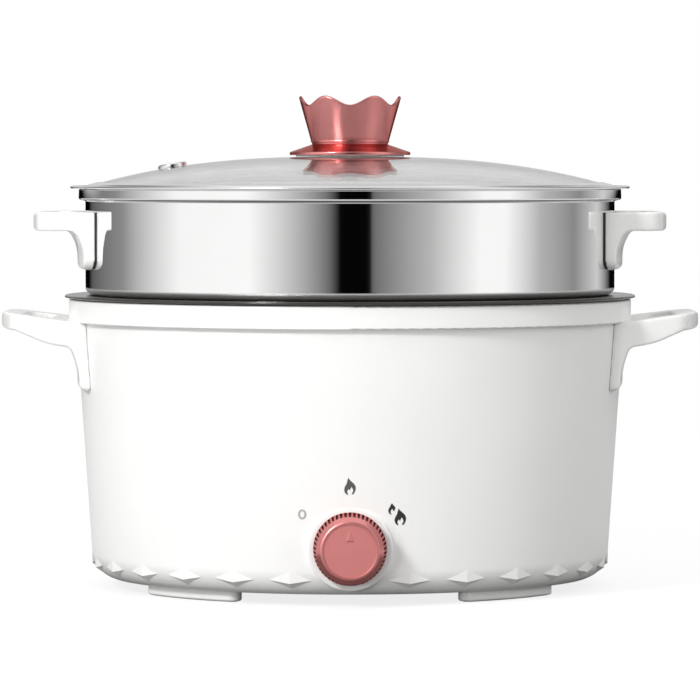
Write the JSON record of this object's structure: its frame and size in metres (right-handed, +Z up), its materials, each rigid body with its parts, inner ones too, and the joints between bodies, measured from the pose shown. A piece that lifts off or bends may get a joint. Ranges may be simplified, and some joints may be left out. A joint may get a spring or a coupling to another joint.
{
  "type": "electric hot pot",
  "caption": "Round white electric hot pot with a coated pan, a steel steamer tier, a lift-off glass lid with a crown-shaped knob, loop handles and a rotary heat dial.",
  "frame": {"origin": "on the table under the pot's vertical axis, the centre of the feet", "axes": "+Z up, -Y is the front with the dial, +X is the user's right"},
  "size_m": [0.3476, 0.2887, 0.2443],
  "materials": {
    "white_plastic": "satin-gloss moulded white",
    "handle_plastic": "satin-gloss moulded white",
    "base_plastic": "fine textured moulded white",
    "black_plastic": "moulded black",
    "pan_coating": "dark brown non-stick coating over aluminium",
    "dark_silicone": "matt silicone",
    "grey_rubber": "matt",
    "polished_steel": "mirror-polished stainless",
    "band_steel": "satin stainless",
    "zinc_steel": "zinc plated",
    "bare_aluminium": "as cast",
    "heater_sheath": "oxidised sheath",
    "white_ceramic": "unglazed",
    "brass": "bare",
    "dark_phenolic": "moulded phenolic",
    "white_nylon": "moulded nylon",
    "fuse_case": "drawn case",
    "brown_wire": "silicone insulation",
    "blue_wire": "silicone insulation",
    "green_wire": "silicone insulation",
    "black_wire": "silicone insulation",
    "rose_gold_metal": "polished rose-gold anodised",
    "rose_gold_satin": "rose-gold metallic paint",
    "lid_glass": "clear tempered"
  },
  "bodies": {
    "pot": {"pot_shell": "white_plastic", "pan": "pan_coating", "pan_seal": "dark_silicone", "pot_handle_right": "handle_plastic", "pot_handle_left": "handle_plastic", "pot_handle_screws": "zinc_steel", "base_cover": "base_plastic", "foot_rear_right": "white_plastic", "foot_rear_left": "white_plastic", "foot_front_left": "white_plastic", "foot_front_right": "white_plastic", "foot_pads": "grey_rubber", "pan_posts": "zinc_steel", "shield_clips": "zinc_steel", "base_screws": "zinc_steel", "heat_spreader": "bare_aluminium", "heater_outer_ring": "heater_sheath", "heater_inner_ring": "heater_sheath", "heater_beads": "white_ceramic", "heater_pins": "zinc_steel", "neutral_bridge": "brass", "heat_shield": "zinc_steel", "thermostat": "dark_phenolic", "thermostat_blades": "brass", "thermostat_screws": "zinc_steel", "thermal_fuse": "fuse_case", "fuse_clip": "zinc_steel", "inlet_housing": "black_plastic", "inlet_pins": "brass", "inlet_screws": "zinc_steel", "live_wires": "brown_wire", "neutral_wire": "blue_wire", "earth_wire": "green_wire", "switch_wires": "black_wire", "earth_tag": "brass", "switch_body": "dark_phenolic", "switch_nut": "brass", "switch_blades": "brass"},
    "dial": {"dial_body": "rose_gold_satin", "dial_cap": "rose_gold_satin", "dial_shaft": "zinc_steel", "switch_rotor": "white_nylon"},
    "steamer": {"steamer_basket": "polished_steel", "steamer_handle_right": "handle_plastic", "steamer_handle_left": "handle_plastic", "steamer_handle_gaskets": "dark_silicone", "steamer_handle_screws": "zinc_steel"},
    "lid": {"lid_glass": "lid_glass", "lid_band": "band_steel", "vent_eyelet": "band_steel", "knob_washer": "dark_silicone", "knob_skirt": "rose_gold_metal", "knob_crown": "rose_gold_metal", "knob_insert": "brass", "knob_screw": "zinc_steel", "lid_seal_washer": "dark_silicone", "lid_steel_washer": "zinc_steel"}
  },
  "joints": [
    {"name": "steamer_lift", "type": "slide", "parent": "pot", "child": "steamer", "axis": [0, 0, 1], "range_m": [0, 0.15]},
    {"name": "lid_lift", "type": "slide", "parent": "steamer", "child": "lid", "axis": [0, 0, 1], "range_m": [0, 0.15]},
    {"name": "dial_turn", "type": "hinge", "parent": "pot", "child": "dial", "pos_m": [0, -0.1388, 0.028], "axis": [0, 1, 0], "range_deg": [-53, 53]}
  ]
}
